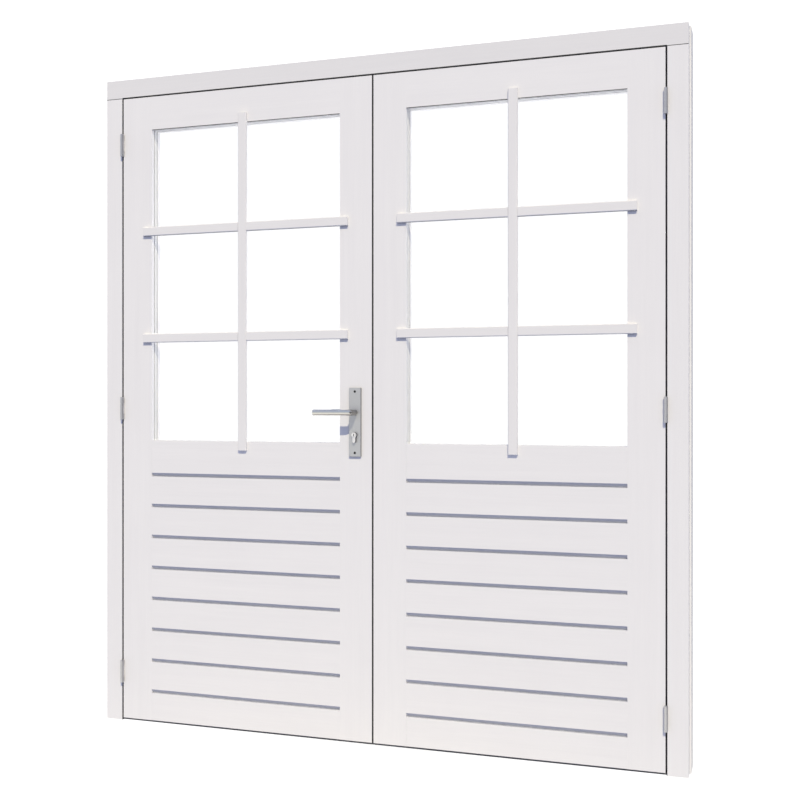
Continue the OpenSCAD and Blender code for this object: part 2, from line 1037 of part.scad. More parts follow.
module right_glass_seals() {
    on_right() glass_seals();
}

module right_glass_beads() {
    on_right() glass_beads();
}

module right_vertical_bar() {
    on_right() vertical_bar();
}

module right_horizontal_bars() {
    on_right() horizontal_bars();
}

// ---- Lock, in the left leaf ----

// Outline of the lock cylinder, made larger by edge
module cylinder_outline(edge) {
    r = web_w / 2 + edge;
    bottom = cylinder_bottom_z - edge;
    translate([axis_x, cylinder_z]) circle(r = cylinder_d / 2 + edge, $fn = round_n);
    translate([axis_x - r, bottom + r]) square([2 * r, cylinder_z - bottom - r]);
    translate([axis_x, bottom + r]) circle(r = r, $fn = round_n);
}

// Opening for a bolt through the forend and the case's front wall
module bolt_window(z, h, t) {
    block(
        [forend_x - case_wall - past, -t / 2 - bolt_clear, z - h / 2 - bolt_clear],
        [meet_edge + past, t / 2 + bolt_clear, z + h / 2 + bolt_clear]
    );
}

module at_forend_screws() {
    for (z = forend_screw_zs)
        translate([meet_edge, 0, z]) rotate([0, 90, 0]) children();
}

module lock_case() {
    color(steel) difference() {
        union() {
            block(
                [forend_x, -forend_w / 2, lever_z - forend_down],
                [meet_edge, forend_w / 2, lever_z + forend_up]
            );
            block(
                [case_x, -case_t / 2, lever_z - case_down],
                [forend_x, case_t / 2 - case_wall, lever_z + case_up]
            );
        }
        block(
            [case_x + case_wall, case_wall - case_t / 2, lever_z - case_down + case_wall],
            [forend_x - case_wall, case_t / 2, lever_z + case_up - case_wall]
        );
        bolt_window(latch_z, latch_h, latch_t);
        bolt_window(dead_z, dead_h, dead_t);
        bar_y(axis_x, lever_z, collar_d + 2 * fit, -case_t, 0);
        slab_y(-case_t, 0) cylinder_outline(bolt_clear);
        at_forend_screws() screw_hole();
        cylinder_screw_bore(2 * case_wall);
        translate([meet_edge, 0, cylinder_screw_z]) rotate([0, 90, 0])
            translate([0, 0, -bolt_head_h])
                cylinder(d1 = bolt_d, d2 = bolt_head_d, h = bolt_head_h, $fn = round_n);
    }
}

module lock_cover() {
    color(steel) difference() {
        block(
            [case_x, case_t / 2 - case_wall, lever_z - case_down],
            [forend_x, case_t / 2, lever_z + case_up]
        );
        bar_y(axis_x, lever_z, collar_d + 2 * fit, 0, case_t);
        slab_y(0, case_t) cylinder_outline(bolt_clear);
    }
}

// Turns on the spindle: a body with two collars, and an arm beside the latch bolt's tail
module follower() {
    inside = case_t / 2 - case_wall - bolt_clear;
    color(steel) difference() {
        union() {
            bar_y(axis_x, lever_z, follower_d, -inside, inside);
            bar_y(axis_x, lever_z, collar_d, -case_t / 2, case_t / 2);
            block(
                [axis_x - arm_w / 2, -inside, lever_z],
                [axis_x + arm_w / 2, -half_split, lever_z + arm_l]
            );
        }
        spindle_block(spindle_w / 2 + fit, case_t);
    }
}

module spindle_block(half, reach) {
    block([axis_x - half, -reach, lever_z - half], [axis_x + half, reach, lever_z + half]);
}

// The latch bolt, drawn back: a block with a bevelled nose, and a tail beside the follower's arm
module latch_bolt() {
    low = latch_z - latch_h / 2;
    color(steel) {
        translate([0, 0, low]) linear_extrude(height = latch_h)
            polygon([
                [nose_x, -latch_t / 2],
                [nose_x - latch_block_l, -latch_t / 2],
                [nose_x - latch_block_l, latch_t / 2],
                [nose_x - latch_bevel, latch_t / 2]
            ]);
        block(
            [nose_x - latch_block_l - latch_tail_l, half_split, low + tail_step],
            [nose_x - latch_block_l, latch_t / 2, low + latch_h - tail_step]
        );
    }
}

// The dead bolt, drawn back: its tail has a notch that the cam's lobe turns through
module dead_bolt() {
    low = dead_z - dead_h / 2;
    color(steel) difference() {
        block([nose_x - dead_l, -dead_t / 2, low], [nose_x, dead_t / 2, low + dead_h]);
        block(
            [notch_x - cam_r, -dead_t, low - past],
            [notch_x + cam_r, dead_t, low + notch_h]
        );
    }
}

module cylinder_screw_bore(reach) {
    translate([meet_edge - reach - past - forend_t, 0, cylinder_screw_z]) rotate([0, 90, 0])
        cylinder(d = bolt_d + 2 * fit, h = reach + forend_t + 2 * past, $fn = round_n);
}

// The lock cylinder: its halves meet only in a bridge under the cam
module cylinder_body() {
    color(steel) difference() {
        slab_y(-cylinder_end, cylinder_end) cylinder_outline(0);
        bar_y(axis_x, cylinder_z, plug_d + 2 * fit, -cylinder_end - past, cylinder_end + past);
        block(
            [axis_x - cylinder_d, -cam_t / 2 - cam_clear, cylinder_bottom_z + bridge_h],
            [axis_x + cylinder_d, cam_t / 2 + cam_clear, cylinder_z + cylinder_d]
        );
        cylinder_screw_bore(backset + web_w);
    }
}

// The plug turns with the key, and carries the cam
module cylinder_plug() {
    end = cylinder_end + plug_out;
    color(steel) difference() {
        union() {
            bar_y(axis_x, cylinder_z, plug_d, -end, end);
            slab_y(-cam_t / 2, cam_t / 2) intersection() {
                translate([axis_x, cylinder_z]) circle(r = cam_r, $fn = round_n);
                translate([axis_x - cam_w / 2, cylinder_z - cam_r])
                    square([cam_w, cam_r]);
            }
        }
        for (side = [-1, 1])
            translate([axis_x, side * (end - key_depth / 2 + past / 2), cylinder_z])
                cube([key_w, key_depth + past, key_h], center = true);
    }
}

module cylinder_screw() {
    color(steel) translate([meet_edge, 0, cylinder_screw_z]) rotate([0, 90, 0]) difference() {
        union() {
            translate([0, 0, -bolt_head_h])
                cylinder(d1 = bolt_d, d2 = bolt_head_d - 2 * fit, h = bolt_head_h, $fn = round_n);
            translate([0, 0, -backset - web_w / 2])
                cylinder(d = bolt_d, h = backset + web_w / 2 - bolt_head_h, $fn = round_n);
        }
        translate([0, 0, -bolt_head_h * recess]) cylinder(d = bolt_d / 2, h = bolt_head_h, $fn = 6);
    }
}

// ---- Handle, on the left leaf ----

// A plate on the outside face, with a bevel round its front
module plate_blank() {
    low_z = plate_z - plate_h / 2;
    intersection() {
        block(
            [axis_x - plate_w / 2, plate_out_y, low_z],
            [axis_x + plate_w / 2, face_y, low_z + plate_h]
        );
        translate([0, 0, low_z - past]) linear_extrude(height = plate_h + 2 * past)
            translate([axis_x, 0]) polygon([
                [-plate_w / 2, face_y],
                [-plate_w / 2, plate_out_y + plate_bevel],
                [plate_bevel - plate_w / 2, plate_out_y],
                [plate_w / 2 - plate_bevel, plate_out_y],
                [plate_w / 2, plate_out_y + plate_bevel],
                [plate_w / 2, face_y]
            ]);
        translate([axis_x - plate_w, 0, plate_z]) rotate([90, 0, 90])
            linear_extrude(height = 2 * plate_w) polygon([
                [face_y, -plate_h / 2],
                [plate_out_y + plate_bevel, -plate_h / 2],
                [plate_out_y, plate_bevel - plate_h / 2],
                [plate_out_y, plate_h / 2 - plate_bevel],
                [plate_out_y + plate_bevel, plate_h / 2],
                [face_y, plate_h / 2]
            ]);
    }
}

module handle_plate() {
    difference() {
        plate_blank();
        bar_y(axis_x, lever_z, journal_d + 2 * fit, plate_out_y - past, face_y + past);
        slab_y(plate_out_y - past, face_y + past) cylinder_outline(bolt_clear);
    }
}

module outer_plate() {
    color(steel) difference() {
        handle_plate();
        for (z = bolt_zs) {
            bar_y(axis_x, z, bolt_d + 2 * fit, plate_out_y - past, face_y + past);
            translate([axis_x, plate_out_y, z]) rotate([-90, 0, 0])
                cylinder(d1 = bolt_head_d, d2 = bolt_d, h = bolt_head_h, $fn = round_n);
        }
    }
}

// The inside plate has blind threaded holes for the through screws
module inner_plate() {
    color(steel) difference() {
        mirror([0, 1, 0]) handle_plate();
        for (z = bolt_zs)
            bar_y(axis_x, z, bolt_d + 2 * fit, -face_y - past, -face_y + bolt_reach);
    }
}

module plate_screws() {
    color(steel) for (z = bolt_zs)
        difference() {
            union() {
                translate([axis_x, plate_out_y, z]) rotate([-90, 0, 0])
                    cylinder(d1 = bolt_head_d - 2 * fit, d2 = bolt_d, h = bolt_head_h, $fn = round_n);
                bar_y(axis_x, z, bolt_d, plate_out_y + bolt_head_h, -face_y + bolt_reach - end_clear);
            }
            translate([axis_x, plate_out_y - past, z]) rotate([-90, 0, 0])
                cylinder(d = bolt_d * recess, h = past + bolt_head_h * recess, $fn = 6);
        }
}

// The outside lever: a journal in the plate, a neck, an elbow and a straight grip
module lever() {
    neck_y = plate_out_y - bolt_clear;
    bend_y = lever_y + lever_bend;
    difference() {
        union() {
            bar_y(axis_x, lever_z, journal_d, neck_y, face_y - bolt_clear);
            bar_y(axis_x, lever_z, lever_d, bend_y, neck_y);
            translate([axis_x - lever_bend, bend_y, lever_z])
                rotate_extrude(angle = -90, $fn = round_n)
                    translate([lever_bend, 0]) circle(d = lever_d, $fn = round_n);
            translate([axis_x - lever_bend, lever_y, lever_z]) rotate([0, -90, 0])
                cylinder(d = lever_d, h = lever_l - lever_bend - lever_edge, $fn = round_n);
            translate([axis_x - lever_l + lever_edge, lever_y, lever_z]) rotate([0, -90, 0])
                cylinder(
                    d1 = lever_d,
                    d2 = lever_d - 2 * lever_edge,
                    h = lever_edge,
                    $fn = round_n
                );
        }
        spindle_block(spindle_w / 2 + fit, spindle_l / 2 + end_clear);
        translate([axis_x, grub_y, lever_z - lever_d])
            cylinder(d = grub_d + 2 * fit, h = lever_d, $fn = round_n);
    }
}

module grub() {
    length = (lever_d - spindle_w) / 2 - end_clear;
    translate([axis_x, grub_y, lever_z - spindle_w / 2 - length]) difference() {
        cylinder(d = grub_d, h = length, $fn = round_n);
        translate([0, 0, -past]) cylinder(d = grub_d / 2, h = past + grub_socket, $fn = 6);
    }
}

module outer_lever() {
    color(steel) lever();
}

module inner_lever() {
    color(steel) mirror([0, 1, 0]) lever();
}

module spindle() {
    color(steel) spindle_block(spindle_w / 2, spindle_l / 2);
}

module grub_screws() {
    color(dark) {
        grub();
        mirror([0, 1, 0]) grub();
    }
}

// ---- Strike plate and flush bolts, in the right leaf ----

module strike_pocket(z, h, t, throw) {
    block(
        [forend_x - throw, -t / 2 - strike_clear, z - h / 2 - strike_clear],
        [meet_edge + past, t / 2 + strike_clear, z + h / 2 + strike_clear]
    );
}

module at_strike_screws() {
    for (z = concat(forend_screw_zs, [strike_screw_z]))
        translate([meet_edge, 0, z]) rotate([0, 90, 0]) children();
}

module strike_plate() {
    color(steel) on_right() difference() {
        block(
            [forend_x, -forend_w / 2, lever_z - forend_down],
            [meet_edge, forend_w / 2, lever_z + forend_up]
        );
        strike_pocket(latch_z, latch_h, latch_t, latch_throw);
        strike_pocket(dead_z, dead_h, dead_t, dead_throw);
        at_strike_screws() screw_hole();
    }
}

// One screw down through the lug, and one at the plate's lower end
module at_flush_screws() {
    translate([lug_screw_x, 0, leaf_top]) children();
    translate([meet_edge, 0, low_screw_z]) rotate([0, 90, 0]) children();
}

module flush_pocket() {
    block(
        [forend_x, -flush_plate_w / 2, flush_low],
        [meet_edge + past, flush_plate_w / 2, leaf_top + past]
    );
    block(
        [lug_x, -flush_plate_w / 2, leaf_top - forend_t],
        [meet_edge, flush_plate_w / 2, leaf_top + past]
    );
    for (z0 = guide_zs)
        block([flush_case_x, -flush_side, z0], [meet_edge, flush_side, z0 + guide_h]);
    block(
        [flush_case_x, -flush_d / 2 - end_clear, guide_z],
        [meet_edge, flush_d / 2 + end_clear, leaf_top + past]
    );
}

// Plate with a slot for the thumb piece, a lug over the leaf's end, and two guides
module flush_case(throw) {
    color(steel) difference() {
        union() {
            block(
                [forend_x, -flush_plate_w / 2, flush_low],
                [meet_edge, flush_plate_w / 2, leaf_top]
            );
            block(
                [lug_x, -flush_plate_w / 2, leaf_top - forend_t],
                [meet_edge, flush_plate_w / 2, leaf_top]
            );
            for (z0 = guide_zs)
                block([flush_case_x, -flush_side, z0], [forend_x, flush_side, z0 + guide_h]);
        }
        translate([flush_x, 0, guide_z - past])
            cylinder(d = flush_d + 2 * fit, h = flush_plate_l, $fn = round_n);
        block(
            [forend_x - past, -thumb_w / 2 - bolt_clear, thumb_z - thumb_h / 2 - bolt_clear],
            [meet_edge + past, thumb_w / 2 + bolt_clear, thumb_z + thumb_h / 2 + throw + bolt_clear]
        );
        at_flush_screws() screw_hole();
    }
}

module flush_bolt() {
    color(steel) {
        translate([flush_x, 0, guide_z + rod_set])
            cylinder(d = flush_d, h = leaf_top - flush_tip - guide_z - rod_set, $fn = round_n);
        block(
            [flush_x, -thumb_w / 2, thumb_z - thumb_h / 2],
            [meet_edge - flush_tip, thumb_w / 2, thumb_z + thumb_h / 2]
        );
    }
}

module top_bolt_case() {
    on_right() flush_case(top_throw);
}

module bottom_bolt_case() {
    on_right() on_bottom() flush_case(bottom_throw);
}

module top_flush_bolt() {
    on_right() flush_bolt();
}

module bottom_flush_bolt() {
    on_right() on_bottom() flush_bolt();
}

// Screws of the keep point up into the head
module at_keep_screws() {
    for (side = [-1, 1])
        translate([flush_x + side * keep_screw_set, 0, head_z]) rotate([180, 0, 0]) children();
}

module head_keep() {
    color(steel) on_right() difference() {
        block(
            [flush_x - keep_l / 2, -keep_w / 2, head_z],
            [flush_x + keep_l / 2, keep_w / 2, head_z + keep_t]
        );
        translate([flush_x, 0, head_z - past])
            cylinder(d = flush_hole_d, h = keep_t + 2 * past, $fn = round_n);
        at_keep_screws() screw_hole();
    }
}

// ---- Screws ----

module frame_screws() {
    color(steel) {
        at_frame_hinge_screws() wood_screw();
        on_right() at_frame_hinge_screws() wood_screw();
        on_right() at_keep_screws() wood_screw();
    }
}

module left_leaf_screws() {
    color(steel) {
        at_leaf_hinge_screws() wood_screw();
        at_forend_screws() wood_screw();
    }
}

module right_leaf_screws() {
    color(steel) on_right() {
        at_leaf_hinge_screws() wood_screw();
        at_strike_screws() wood_screw();
        at_flush_screws() wood_screw();
        on_bottom() at_flush_screws() wood_screw();
    }
}

head();
left_post();
right_post();
threshold();
frame_seals();
left_frame_hinges();
right_frame_hinges();
hinge_pins();
head_keep();
frame_screws();
left_hinge_stile();
left_lock_stile();
left_top_rail();
left_middle_rail();
left_bottom_rail();
left_boards();
left_glass();
left_glass_spacer();
left_glass_seals();
left_glass_beads();
left_vertical_bar();
left_horizontal_bars();
left_leaf_hinges();
left_leaf_screws();
right_hinge_stile();
right_meeting_stile();
right_top_rail();
right_middle_rail();
right_bottom_rail();
right_boards();
right_glass();
right_glass_spacer();
right_glass_seals();
right_glass_beads();
right_vertical_bar();
right_horizontal_bars();
right_leaf_hinges();
right_leaf_screws();
strike_plate();
top_bolt_case();
bottom_bolt_case();
top_flush_bolt();
bottom_flush_bolt();
lock_case();
lock_cover();
follower();
latch_bolt();
dead_bolt();
cylinder_body();
cylinder_plug();
cylinder_screw();
outer_plate();
inner_plate();
plate_screws();
outer_lever();
inner_lever();
spindle();
grub_screws();
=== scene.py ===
import json
import math

import bmesh
import bpy
from mathutils import Matrix, Vector


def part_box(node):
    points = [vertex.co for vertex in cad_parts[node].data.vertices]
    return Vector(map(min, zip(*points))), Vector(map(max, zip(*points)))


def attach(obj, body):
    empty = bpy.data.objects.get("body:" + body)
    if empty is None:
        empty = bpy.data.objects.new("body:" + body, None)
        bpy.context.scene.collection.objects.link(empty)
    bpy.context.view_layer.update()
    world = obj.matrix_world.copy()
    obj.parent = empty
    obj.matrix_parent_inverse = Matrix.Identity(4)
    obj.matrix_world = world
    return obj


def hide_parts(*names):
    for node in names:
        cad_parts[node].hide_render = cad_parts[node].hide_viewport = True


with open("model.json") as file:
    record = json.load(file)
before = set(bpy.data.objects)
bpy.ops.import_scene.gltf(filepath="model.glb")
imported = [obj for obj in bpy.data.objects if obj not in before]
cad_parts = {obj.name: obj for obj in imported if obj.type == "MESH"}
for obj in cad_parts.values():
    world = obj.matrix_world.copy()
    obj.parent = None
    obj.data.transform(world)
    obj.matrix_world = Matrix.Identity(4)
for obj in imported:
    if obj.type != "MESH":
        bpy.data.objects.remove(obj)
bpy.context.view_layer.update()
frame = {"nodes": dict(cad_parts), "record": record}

bl_info = {
    "name": "Garden doors finish",
    "version": (1, 0, 0),
    "blender": (4, 5, 0),
    "location": "View3D > Sidebar > Garden doors",
    "description": "Paint, glass, metal and light for a pair of timber garden doors in their frame",
    "category": "Object",
}

MM = 0.001
AXES = {"x": Vector((1, 0, 0)), "y": Vector((0, 1, 0)), "z": Vector((0, 0, 1))}
SIDES = ("left", "right")
BODY_OF = {
    node: body for body, nodes in frame["record"]["behaviour"]["bodies"].items() for node in nodes
}

# Doubles in a CAD mesh lie closer than this
MERGE = 0.002 * MM

# Edges sharper than these angles, in degrees, are rounded or shaded as edges
TIMBER_ROUND, METAL_ROUND = 30, 40
TIMBER_SMOOTH, LEVER_SMOOTH = 35, 40

# A face looks one way when its normal has at least this much of it
LOOKS = 0.99

# A plate's or a cylinder's face is a side when its normal has less depth than this
SIDE_DEPTH = 0.3

# Faces round a lever's bar, along its bend and round its end
BAR_SEGMENTS, BEND_STEPS, END_STEPS = 48, 24, 4


# ---- Sizes and colours that a user would change ----


class TimberSettings(bpy.types.PropertyGroup):
    """Paint and edges of the wooden pieces."""

    arris: bpy.props.FloatProperty(
        name="Arris", description="Width of the softened edges of a wooden piece",
        default=0.7 * MM, min=0.1 * MM, max=4 * MM, unit="LENGTH", precision=4,
    )
    bar_arris: bpy.props.FloatProperty(
        name="Bar arris", description="Width of the softened edges of a glazing bar and a bead",
        default=0.5 * MM, min=0.1 * MM, max=2 * MM, unit="LENGTH", precision=4,
    )
    paint: bpy.props.FloatVectorProperty(
        name="Paint", description="Colour of the paint",
        default=(0.84, 0.835, 0.84), min=0, max=1, subtype="COLOR",
    )
    paint_shade: bpy.props.FloatVectorProperty(
        name="Paint in the grain",
        description="Colour of the paint where it lies deeper in the grain",
        default=(0.79, 0.785, 0.795), min=0, max=1, subtype="COLOR",
    )
    grain_depth: bpy.props.FloatProperty(
        name="Grain depth", description="Height of the grain that shows through the paint",
        default=0.05 * MM, min=0, max=1 * MM, unit="LENGTH", precision=5,
    )
    # The strip setback and width place the painted shade strips: dark bands that stand for the
    # shade in the gaps, under the head and under the top rails.
    shade_strip_set: bpy.props.FloatProperty(
        name="Strip setback", description="How far a sealing strip starts behind the outside face",
        default=0, min=0, max=5 * MM, unit="LENGTH", precision=4,
    )
    shade_strip_width: bpy.props.FloatProperty(
        name="Strip width", description="Width of the sealing strips in the gaps and at the panes",
        default=11 * MM, min=4 * MM, max=14 * MM, unit="LENGTH", precision=4,
    )
    groove_depth: bpy.props.FloatProperty(
        name="Groove depth", description="Depth of the grooves between the boards",
        default=10 * MM, min=2 * MM, max=20 * MM, unit="LENGTH", precision=4,
    )
    head_gap: bpy.props.FloatProperty(
        name="Head gap", description="Gap between the leaves and the head",
        default=4 * MM, min=1 * MM, max=8 * MM, unit="LENGTH", precision=4,
    )
    # The gap line is painted shade: a dark band on the outside face beside a gap, which widens the
    # gap's dark line.
    gap_line: bpy.props.FloatProperty(
        name="Gap line", description="Width of a sealing strip's lip on the outside face",
        default=1.6 * MM, min=0.8 * MM, max=4 * MM, unit="LENGTH", precision=4,
    )
    joint_line: bpy.props.FloatProperty(
        name="Joint line", description="Width of the dark line between the head and a post",
        default=2.2 * MM, min=0.2 * MM, max=4 * MM, unit="LENGTH", precision=4,
    )


class MetalSettings(bpy.types.PropertyGroup):
    """Colours of the handle, the hinges and the lock."""

    handle: bpy.props.FloatVectorProperty(
        name="Handle", description="Colour of the brushed levers",
        default=(0.75, 0.75, 0.76), min=0, max=1, subtype="COLOR",
    )
    plate: bpy.props.FloatVectorProperty(
        name="Plate", description="Colour of the brushed plates",
        default=(0.60, 0.61, 0.635), min=0, max=1, subtype="COLOR",
    )
    steel: bpy.props.FloatVectorProperty(
        name="Steel", description="Colour of the zinc-plated steel",
        default=(0.62, 0.62, 0.66), min=0, max=1, subtype="COLOR",
    )
    journal: bpy.props.FloatProperty(
        name="Journal", description="Diameter of a lever's journal in its plate",
        default=16 * MM, min=12 * MM, max=18 * MM, unit="LENGTH",
    )
    bend: bpy.props.FloatProperty(
        name="Bend", description="Radius of a lever's bend", default=12 * MM, min=11 * MM,
        max=18 * MM, unit="LENGTH",
    )
    lever_edge: bpy.props.FloatProperty(
        name="Lever's end", description="Radius of the softened edge at a lever's end",
        default=2 * MM, min=0.5 * MM, max=5 * MM, unit="LENGTH",
    )
    running_gap: bpy.props.FloatProperty(
        name="Running gap", description="Gap between a lever's neck and its plate",
        default=0.3 * MM, min=0.1 * MM, max=1 * MM, unit="LENGTH", precision=4,
    )
    screw_edge: bpy.props.FloatProperty(
        name="Edge", description="Width of the rounded edges of the metal pieces",
        default=0.4 * MM, min=0.05 * MM, max=2 * MM, unit="LENGTH", precision=4,
    )


class StageSettings(bpy.types.PropertyGroup):
    """Camera, floor and light."""

    lens: bpy.props.FloatProperty(
        name="Lens", description="Focal length of the camera", default=50, min=20, max=200,
        subtype="DISTANCE_CAMERA",
    )
    camera_place: bpy.props.FloatVectorProperty(
        name="Camera", description="Place of the camera", default=(1.194, -3.3585, 1.1),
        subtype="TRANSLATION",
    )
    camera_turn: bpy.props.FloatProperty(
        name="Camera turn", description="How far the camera is turned to the left",
        default=math.radians(18.31), subtype="ANGLE",
    )
    sun_colour: bpy.props.FloatVectorProperty(
        name="Sun colour", description="Colour of the sun", default=(1.0, 0.905, 0.66), min=0,
        max=1, subtype="COLOR",
    )
    sun_angle: bpy.props.FloatProperty(
        name="Sun angle", description="How wide the sun is, which softens the shadows",
        default=math.radians(1.2), min=0, max=1, subtype="ANGLE",
    )
    sun_strength: bpy.props.FloatProperty(
        name="Sun", description="Strength of the sun", default=3.05, min=0, max=20,
    )
    sun_travel: bpy.props.FloatVectorProperty(
        name="Sunlight", description="Direction in which the sunlight travels",
        default=(-0.43, 1.0, -1.13), subtype="DIRECTION",
    )
    sky: bpy.props.FloatVectorProperty(
        name="Sky light", description="Colour of the soft light from all round",
        default=(0.31, 0.345, 0.52), min=0, max=5, subtype="COLOR",
    )
    panel_size: bpy.props.FloatVectorProperty(
        name="Panel size", description="Width and height of the lit panel behind the doors", size=2,
        default=(1.85, 1.3), min=0.1, max=5, unit="LENGTH",
    )
    panel_place: bpy.props.FloatVectorProperty(
        name="Panel", description="Place of the lit panel behind the doors",
        default=(0, 0.8, 1.55), subtype="TRANSLATION",
    )
    panel_power: bpy.props.FloatProperty(
        name="Panel power", description="Power of the lit panel behind the doors", default=22,
        min=0, max=500, unit="POWER",
    )
    behind: bpy.props.FloatVectorProperty(
        name="Light from behind", description="Colour of the soft light from behind the doors",
        default=(0.9, 0.9, 0.92), min=0, max=5, subtype="COLOR",
    )
    backdrop: bpy.props.FloatVectorProperty(
        name="Backdrop", description="Colour of the empty studio behind the doors",
        default=(1.3, 1.3, 1.3), min=0, max=5, subtype="COLOR",
    )
    floor: bpy.props.FloatVectorProperty(
        name="Floor", description="Colour of the floor", default=(0.75, 0.75, 0.76), min=0, max=1,
        subtype="COLOR",
    )
    floor_radius: bpy.props.FloatProperty(
        name="Floor radius", description="Distance at which the floor has faded into the backdrop",
        default=1.5, min=1, max=20, unit="LENGTH",
    )


def settings(name):
    return getattr(bpy.context.scene, name)


# ---- Shader maths ----


class Wire:
    """A node's output that can be used in sums."""

    def __init__(self, nodes, socket):
        self.nodes = nodes
        self.socket = socket

    def math(self, operation, first, second):
        return self.nodes.node("ShaderNodeMath", {"operation": operation}, {0: first, 1: second})

    def __add__(self, other):
        return self.math("ADD", self, other)

    def __radd__(self, other):
        return self.math("ADD", other, self)

    def __sub__(self, other):
        return self.math("SUBTRACT", self, other)

    def __rsub__(self, other):
        return self.math("SUBTRACT", other, self)

    def __mul__(self, other):
        return self.math("MULTIPLY", self, other)

    def __rmul__(self, other):
        return self.math("MULTIPLY", other, self)

    def __truediv__(self, other):
        return self.math("DIVIDE", self, other)

    def __rtruediv__(self, other):
        return self.math("DIVIDE", other, self)

    def clamped(self):
        return self.nodes.node("ShaderNodeClamp", {}, {"Value": self})


class Nodes:
    """An empty node tree, and the one method that makes its nodes."""

    def __init__(self, tree):
        self.tree = tree
        self.tree.nodes.clear()

    def node(self, kind, options, values, output=0):
        """Makes a node: its options first, then the values or links of its sockets."""
        made = self.tree.nodes.new(kind)
        for key, option in options.items():
            if key == "stops":
                self.set_stops(made.color_ramp, option)
            else:
                setattr(made, key, option)
        for key, value in values.items():
            self.feed(made.inputs[key], value)
        return Wire(self, made.outputs[output])

    @staticmethod
    def set_stops(ramp, stops):
        while len(ramp.elements) < len(stops):
            ramp.elements.new(1)
        for element, (place, shade) in zip(ramp.elements, stops):
            element.position = place
            element.color = (*shade, 1)

    def feed(self, socket, value):
        if isinstance(value, Wire):
            self.tree.links.new(value.socket, socket)
        elif socket.type == "RGBA":
            socket.default_value = (*value, 1)
        else:
            socket.default_value = value

    def mix(self, factor, first, second):
        """A colour between two colours."""
        return self.node(
            "ShaderNodeMix", {"data_type": "RGBA"}, {0: factor, 6: first, 7: second}, 2
        )

    def blend(self, factor, first, second):
        """A shader between two shaders."""
        return self.node("ShaderNodeMixShader", {}, {0: factor, 1: first, 2: second})


class Shader(Nodes):
    """A material that is being made, with its principled surface."""

    def __init__(self, name):
        self.material = bpy.data.materials.new(name)
        self.material.use_nodes = True
        super().__init__(self.material.node_tree)
        self.surface = self.tree.nodes.new("ShaderNodeBsdfPrincipled")
        self.output = self.tree.nodes.new("ShaderNodeOutputMaterial")
        self.show(Wire(self, self.surface.outputs["BSDF"]))

    def show(self, result):
        self.feed(self.output.inputs["Surface"], result)

    def set(self, **values):
        """Sets the principled surface's sockets, with _ for a space in their names."""
        for name, value in values.items():
            self.feed(self.surface.inputs[name.replace("_", " ")], value)

    def place(self, scale=(1, 1, 1)):
        """The point on the piece, stretched."""
        point = self.node("ShaderNodeTexCoord", {}, {}, "Object")
        return self.node(
            "ShaderNodeMapping", {"vector_type": "POINT"}, {"Vector": point, "Scale": scale}
        )

    def stretched(self, along, reach):
        """The point on the piece, on which a pattern is drawn out along one axis."""
        return self.place(tuple(reach if axis == along else 1.0 for axis in "xyz"))

    def noise(self, point, scale, detail=3.0, roughness=0.5):
        return self.node(
            "ShaderNodeTexNoise", {"noise_dimensions": "3D"},
            {"Vector": point, "Scale": scale, "Detail": detail, "Roughness": roughness}, "Fac",
        )

    def bump(self, height, depth, strength=1.0):
        return self.node(
            "ShaderNodeBump", {}, {"Height": height, "Distance": depth, "Strength": strength},
            "Normal",
        )


def tinted(shade, tint):
    """A colour darkened by a number, or part by part by another colour."""
    parts = tint if isinstance(tint, tuple) else (tint,) * 3
    return tuple(part * share for part, share in zip(shade, parts))


# ---- Materials ----


def painted_timber(name, along, darken_tint=(1, 1, 1)):
    """White paint over fine grain that runs along one axis. darken_tint is a tint that darkens it;
    on the posts' outer sides and in the grooves it is painted shade.
    """
    timber = settings("doors_timber")
    shader = Shader(name)
    point = shader.stretched(along, 0.035)
    broad = shader.noise(point, 34, detail=4, roughness=0.6)
    fine = shader.noise(point, 240, detail=2)
    spread = shader.noise(shader.place(), 5, detail=2)
    grain = (broad * 0.65 + fine * 0.35).clamped()
    depth = ((grain - 0.5) * 1.6 + 0.5 + (spread - 0.5) * 0.5).clamped()
    shader.set(
        Base_Color=shader.mix(depth, tinted(timber.paint_shade, darken_tint), tinted(timber.paint, darken_tint)),
        Roughness=0.42 + fine * 0.12,
        IOR=1.46,
        Normal=shader.bump(broad * 0.6 + fine * 0.4, timber.grain_depth, 0.8),
    )
    return shader.material


def brushed_metal(name, shade, along, roughness, metallic):
    """Satin anodised metal with fine brush marks along one axis."""
    shader = Shader(name)
    lines = shader.noise(shader.stretched(along, 0.04), 1500, detail=2)
    cloud = shader.noise(shader.place(), 60, detail=3)
    shader.set(
        Base_Color=shader.mix((lines * 0.6 + cloud * 0.4).clamped(), tinted(shade, 0.86), shade),
        Metallic=metallic,
        Roughness=roughness + (lines - 0.5) * 0.16,
        Normal=shader.bump(lines, 0.01 * MM, 0.6),
    )
    return shader.material


def plated_steel(name, shade, roughness, metallic=0.9):
    """Zinc-plated steel with a faint mottle."""
    shader = Shader(name)
    mottle = shader.noise(shader.place(), 180, detail=4, roughness=0.65)
    shader.set(
        Base_Color=shader.mix(mottle, tinted(shade, 0.82), shade),
        Metallic=metallic,
        Roughness=roughness + mottle * 0.14,
        Normal=shader.bump(mottle, 0.01 * MM, 0.5),
    )
    return shader.material


def clear_glass(name):
    """Clear float glass with faint waves."""
    shader = Shader(name)
    waves = shader.noise(shader.place(), 3, detail=1)
    shader.set(
        Base_Color=(1.0, 1.0, 1.0),
        Roughness=0.0,
        IOR=1.05,
        Transmission_Weight=1.0,
        Alpha=0.12,
        Normal=shader.bump(waves, 0.02 * MM, 0.3),
    )
    return shader.material


